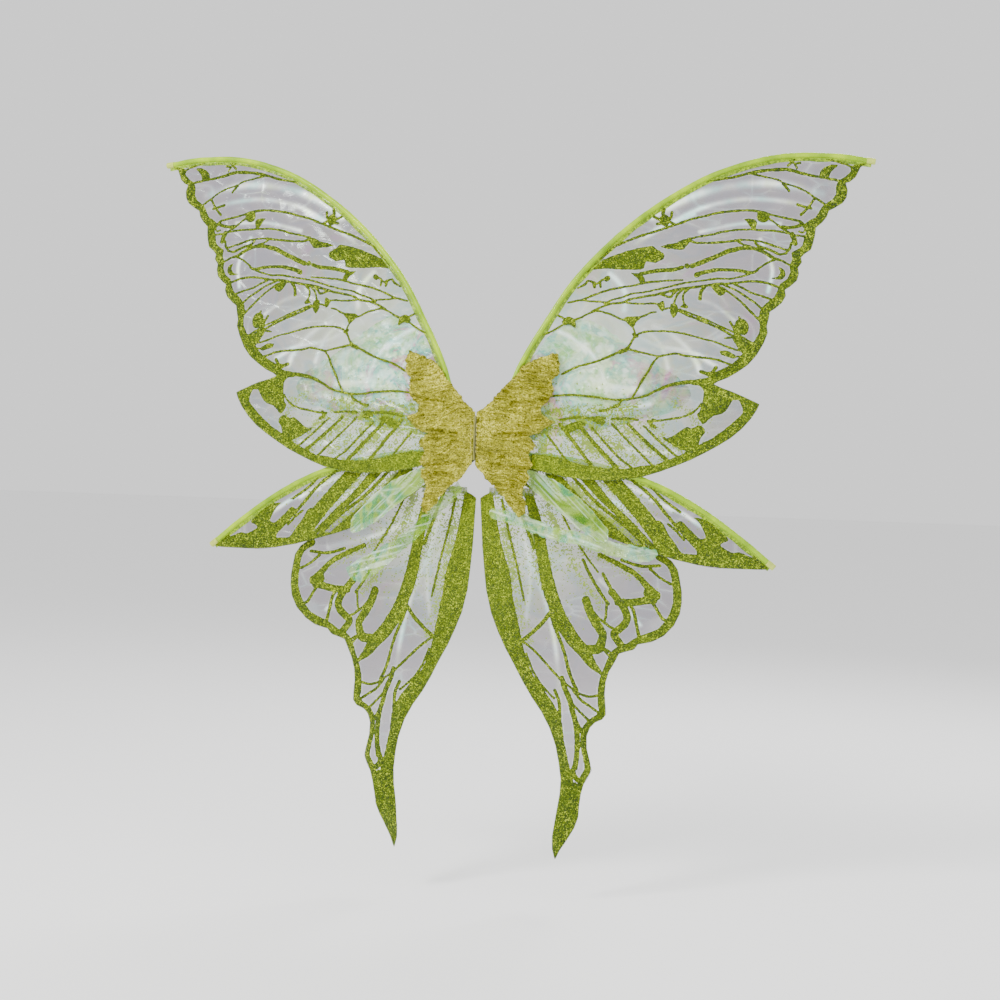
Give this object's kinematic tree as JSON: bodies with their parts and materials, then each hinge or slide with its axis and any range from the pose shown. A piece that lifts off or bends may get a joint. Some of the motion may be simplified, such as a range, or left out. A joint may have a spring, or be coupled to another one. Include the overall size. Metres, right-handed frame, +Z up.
{
  "type": "fairy wings",
  "caption": "Costume fairy wings of patterned clear film on wire, with a folding gathered gold centre, hanging tails, a back pad and elastic shoulder loops.",
  "frame": {"origin": "on the face of the back pad that rests on the wearer's back, level with the middle of the gathered gold centre", "axes": "+X towards the wearer's right-hand wing, +Y out of the pad into the wearer's back, +Z up"},
  "size_m": [0.9346, 0.1706, 0.8822],
  "materials": {
    "board": "plain stiff plastic sheet",
    "pad_felt": "soft green felt",
    "binding_tape": "woven tape",
    "elastic": "ribbed elastic",
    "elastic_stitching": "bar-tacked elastic",
    "spring_wire": "drawn spring wire",
    "green_casing": "translucent chartreuse vinyl casing",
    "end_cap": "heat-formed blunt end",
    "clear_film": "pale iridescent film",
    "green_glitter": "green glitter vinyl",
    "crinkled_film": "crinkled iridescent cellophane",
    "loose_cellophane": "loose iridescent cellophane",
    "gold_lame": "crinkled gold glitter lame",
    "backing_cloth": "plain woven backing"
  },
  "bodies": {
    "back_panel": {"back_board": "board", "back_pad": "pad_felt", "hinge_tape": "binding_tape", "right_strap_lugs": "elastic_stitching", "left_strap_lugs": "elastic_stitching"},
    "right_wing": {"right_forewing_wire": "spring_wire", "right_forewing_sleeve": "green_casing", "right_forewing_cap": "end_cap", "right_forewing_film": "clear_film", "right_forewing_glitter": "green_glitter", "right_forewing_overlay": "crinkled_film", "right_streamer": "loose_cellophane", "right_centre_cover": "gold_lame", "right_centre_backing": "backing_cloth"},
    "right_hindwing": {"right_hindwing_wire": "spring_wire", "right_hindwing_sleeve": "green_casing", "right_hindwing_cap": "end_cap", "right_hindwing_film": "clear_film", "right_hindwing_glitter": "green_glitter"},
    "right_tail": {"right_tail_film": "clear_film", "right_tail_glitter": "green_glitter", "right_tail_header": "binding_tape"},
    "right_shoulder_loop": {"right_strap": "elastic"},
    "left_wing": {"left_forewing_wire": "spring_wire", "left_forewing_sleeve": "green_casing", "left_forewing_cap": "end_cap", "left_forewing_film": "clear_film", "left_forewing_glitter": "green_glitter", "left_forewing_overlay": "crinkled_film", "left_streamer": "loose_cellophane", "left_centre_cover": "gold_lame", "left_centre_backing": "backing_cloth"},
    "left_hindwing": {"left_hindwing_wire": "spring_wire", "left_hindwing_sleeve": "green_casing", "left_hindwing_cap": "end_cap", "left_hindwing_film": "clear_film", "left_hindwing_glitter": "green_glitter"},
    "left_tail": {"left_tail_film": "clear_film", "left_tail_glitter": "green_glitter", "left_tail_header": "binding_tape"},
    "left_shoulder_loop": {"left_strap": "elastic"}
  },
  "joints": [
    {"name": "right_wing_fold", "type": "hinge", "parent": "back_panel", "child": "right_wing", "pos_m": [0, -0.042, 0], "axis": [0, 0, -1], "range_deg": [0, 70]},
    {"name": "right_hindwing_tilt", "type": "hinge", "parent": "right_wing", "child": "right_hindwing", "pos_m": [0.0333, -0.01674, -0.01798], "axis": [0.1385, -0.9891, 0.0495], "range_deg": [-8, 7]},
    {"name": "right_tail_sway", "type": "hinge", "parent": "right_wing", "child": "right_tail", "pos_m": [0.01564, -0.00956, -0.06394], "axis": [0.995, 0.0995, 0], "range_deg": [-5, 25]},
    {"name": "right_loop_swing", "type": "hinge", "parent": "back_panel", "child": "right_shoulder_loop", "pos_m": [0.0505, -0.0015, 0], "axis": [0, 0, 1], "range_deg": [-30, 18]},
    {"name": "left_wing_fold", "type": "hinge", "parent": "back_panel", "child": "left_wing", "pos_m": [0, -0.042, 0], "axis": [0, 0, 1], "range_deg": [0, 70]},
    {"name": "left_hindwing_tilt", "type": "hinge", "parent": "left_wing", "child": "left_hindwing", "pos_m": [-0.0333, -0.01674, -0.01798], "axis": [0.1385, 0.9891, -0.0495], "range_deg": [-8, 7]},
    {"name": "left_tail_sway", "type": "hinge", "parent": "left_wing", "child": "left_tail", "pos_m": [-0.01564, -0.00956, -0.06394], "axis": [0.995, -0.0995, 0], "range_deg": [-5, 25]},
    {"name": "left_loop_swing", "type": "hinge", "parent": "back_panel", "child": "left_shoulder_loop", "pos_m": [-0.0505, -0.0015, 0], "axis": [0, 0, -1], "range_deg": [-30, 18]}
  ]
}
